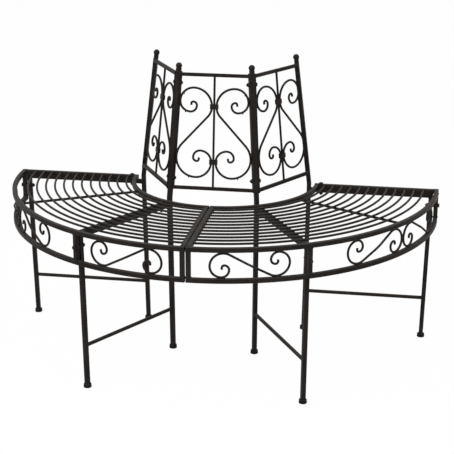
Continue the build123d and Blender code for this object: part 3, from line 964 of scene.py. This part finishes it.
class BENCH_OT_panel_welds(Operator):
    """Welds rails, centre rods and scrolls of the back panels"""

    bl_idname = "bench.panel_welds"
    bl_label = "Panel welds"

    def execute(self, context):
        rod_low, rod_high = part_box("centre_panel_centre_rod")
        radius = (rod_high.x - rod_low.x) / 2
        bottom = Vector((0, rod_low.y + radius, rod_low.z))
        top = Vector((0, rod_high.y - radius, rod_high.z))
        lean = (top - bottom).normalized()
        bead = rod_bead(radius, 21)
        centre = [(bead, aimed(end, lean)) for end in (bottom, top)]
        rail_beads = []
        for rail, seed in (("centre_panel_top_rail", 22), ("centre_panel_bottom_rail", 23)):
            low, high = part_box(rail)
            bar = (high.z - low.z) / (lean.z + abs(lean.y))
            reach = (high.x - low.x) / 2 - bar / 2 * tan(radians(half_step))
            square = tube_bead(bar, seed)
            rail_beads.append(square)
            for side in (1, -1):
                place = Vector((side * reach, (low.y + high.y) / 2, (low.z + high.z) / 2))
                out = turn_about_axis(half_step * side).to_3x3() @ Vector((side, 0, 0))
                centre.append((square, aimed(place, out, lean)))
        tacks = [tack_weld(seed) for seed in (24, 25)]
        places = []
        for panel, turn in panel_turns.items():
            about = turn_about_axis(turn)
            places += [(model, about @ spot) for model, spot in centre]
            for side in (1, -1):
                normal = about.to_3x3() @ turn_about_axis(-90 + half_step * side).to_3x3() @ Vector((0, 1, 0))
                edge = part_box(f"{panel}_stiles")
                stile = [v.co for v in frame["nodes"][f"{panel}_stiles"].data.vertices]
                middle = about @ Vector((0, (edge[0].y + edge[1].y) / 2, 0))
                inner = min(stile, key=lambda p: abs((p - middle).dot(normal)))
                for index, spot in enumerate(touching_points(f"{panel}_scrolls", inner, normal)):
                    along = about.to_3x3() @ lean
                    places.append((tacks[index % 2], aimed(spot, along, normal)))
        whole = copies_joined(places, "panel_welds")
        drop(bead, *rail_beads, *tacks)
        fix_to_bench(whole, powder_coat())
        return {"FINISHED"}


class BENCH_OT_skirt_welds(Operator):
    """Tacks the skirt scrolls to the rims"""

    bl_idname = "bench.skirt_welds"
    bl_label = "Skirt welds"

    def execute(self, context):
        tacks = [tack_weld(seed) for seed in (31, 32, 33)]
        places = []
        for side in ("right", "left"):
            for height in (lower_rim_high.z, seat_underside):
                level = Vector((0, 0, height))
                up = Vector((0, 0, 1))
                for spot in touching_points(f"{side}_skirt_scrolls", level, up):
                    out = Vector((spot.x, spot.y - axis_y, 0))
                    along = up.cross(out)
                    places.append((tacks[len(places) % len(tacks)], aimed(spot, along, up)))
        whole = copies_joined(places, "skirt_welds")
        drop(*tacks)
        fix_to_bench(whole, powder_coat())
        return {"FINISHED"}


# Stage helpers
def seen_directly(tree):
    """Nodes that give 1 to camera, glossy and transmission rays, and 0 to all others."""
    rays = add_node(tree, "ShaderNodeLightPath", (-600, 200))
    seen = add_node(tree, "ShaderNodeMath", (-350, 200), operation="MAXIMUM")
    shown = add_node(tree, "ShaderNodeMath", (-150, 200), operation="MAXIMUM")
    tree.links.new(rays.outputs["Is Camera Ray"], seen.inputs[0])
    tree.links.new(rays.outputs["Is Glossy Ray"], seen.inputs[1])
    tree.links.new(seen.outputs["Value"], shown.inputs[0])
    tree.links.new(rays.outputs["Is Transmission Ray"], shown.inputs[1])
    return shown.outputs["Value"]


def floor_paint(stage):
    """Pale floor that keeps a shadow and is faded to white where it is seen."""
    material = bpy.data.materials.new("floor")
    material.use_nodes = True
    tree = material.node_tree
    tree.nodes.clear()
    result = add_node(tree, "ShaderNodeOutputMaterial", (600, 0))
    paint = add_node(tree, "ShaderNodeBsdfDiffuse", (0, -150))
    paint.inputs["Color"].default_value = (*stage.floor, 1)
    white = add_node(tree, "ShaderNodeEmission", (0, 0))
    share = add_node(tree, "ShaderNodeMath", (50, 200), operation="MULTIPLY")
    share.inputs[1].default_value = stage.floor_white
    fade = add_node(tree, "ShaderNodeMixShader", (350, 0))
    tree.links.new(seen_directly(tree), share.inputs[0])
    tree.links.new(share.outputs["Value"], fade.inputs["Fac"])
    tree.links.new(paint.outputs["BSDF"], fade.inputs[1])
    tree.links.new(white.outputs["Emission"], fade.inputs[2])
    tree.links.new(fade.outputs["Shader"], result.inputs["Surface"])
    return material


def studio_sky(stage):
    """White light from all around, dimmer on the bench than it looks."""
    world = bpy.data.worlds.new("studio")
    world.use_nodes = True
    tree = world.node_tree
    tree.nodes.clear()
    result = add_node(tree, "ShaderNodeOutputWorld", (600, 0))
    back = add_node(tree, "ShaderNodeBackground", (300, 0))
    back.inputs["Color"].default_value = (1, 1, 1, 1)
    level = add_node(tree, "ShaderNodeMapRange", (50, 0))
    level.inputs["To Min"].default_value = stage.sky
    tree.links.new(seen_directly(tree), level.inputs["Value"])
    tree.links.new(level.outputs["Result"], back.inputs["Strength"])
    tree.links.new(back.outputs["Background"], result.inputs["Surface"])
    return world


def studio_lamp(name, place, size, power, aim):
    """Square lamp that points at the bench."""
    bpy.ops.object.light_add(type="AREA", location=place)
    lamp = bpy.context.object
    lamp.name = name
    lamp.data.size = size
    lamp.data.energy = power
    lamp.rotation_euler = (Vector(aim) - Vector(place)).to_track_quat("-Z", "Y").to_euler()


def studio_camera(stage):
    """Camera at the photograph's angle."""
    bpy.ops.object.camera_add(location=stage.camera_place)
    camera = bpy.context.object
    camera.name = "camera"
    tilt = Euler((pi / 2 - stage.elevation, 0, stage.azimuth)).to_matrix()
    camera.rotation_euler = (tilt @ Matrix.Rotation(stage.roll, 3, "Z")).to_euler()
    camera.data.sensor_width = stage.sensor
    camera.data.lens = stage.lens
    camera.data.clip_end = stage.view_depth
    return camera


class BENCH_OT_stage(Operator):
    """Sets the floor, the lamps, the sky and the camera"""

    bl_idname = "bench.stage"
    bl_label = "Stage"

    def execute(self, context):
        stage = context.scene.bench_stage
        bpy.ops.object.select_all(action="DESELECT")
        bpy.ops.mesh.primitive_plane_add(size=stage.floor_size)
        floor = context.object
        floor.name = "floor"
        floor.data.materials.append(floor_paint(stage))
        context.scene.world = studio_sky(stage)
        studio_lamp("key lamp", stage.key_place, stage.key_size, stage.key_power, stage.lamp_aim)
        studio_lamp("fill lamp", stage.fill_place, stage.fill_size, stage.fill_power, stage.lamp_aim)
        context.scene.camera = studio_camera(stage)
        context.scene.view_settings.view_transform = "Standard"
        return {"FINISHED"}


class BENCH_PT_build(Panel):
    """Lists the steps that dress the bench"""

    bl_label = "Half-round garden bench"
    bl_idname = "BENCH_PT_build"
    bl_space_type = "VIEW_3D"
    bl_region_type = "UI"
    bl_category = "Bench"

    def draw(self, context):
        for step in STEPS:
            self.layout.operator(step.bl_idname)


STEPS = (
    BENCH_OT_powder_coat,
    BENCH_OT_foot_caps,
    BENCH_OT_spacers,
    BENCH_OT_bolts,
    BENCH_OT_nuts,
    BENCH_OT_slat_welds,
    BENCH_OT_tube_welds,
    BENCH_OT_rod_welds,
    BENCH_OT_panel_welds,
    BENCH_OT_skirt_welds,
    BENCH_OT_stage,
)
GROUPS = {
    "bench_finish": BenchFinish,
    "bench_welds": BenchWelds,
    "bench_fasteners": BenchFasteners,
    "bench_stage": BenchStage,
}


def register():
    """Registers the classes and hangs the settings on the scene."""
    for name, group in GROUPS.items():
        bpy.utils.register_class(group)
        setattr(bpy.types.Scene, name, PointerProperty(type=group))
    for step in STEPS:
        bpy.utils.register_class(step)
    bpy.utils.register_class(BENCH_PT_build)


def unregister():
    """Takes everything back out."""
    bpy.utils.unregister_class(BENCH_PT_build)
    for step in reversed(STEPS):
        bpy.utils.unregister_class(step)
    for name, group in reversed(GROUPS.items()):
        delattr(bpy.types.Scene, name)
        bpy.utils.unregister_class(group)


def main():
    """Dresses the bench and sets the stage."""
    register()
    for step in STEPS:
        area, name = step.bl_idname.split(".")
        getattr(getattr(bpy.ops, area), name)()


if __name__ == "__main__":
    main()
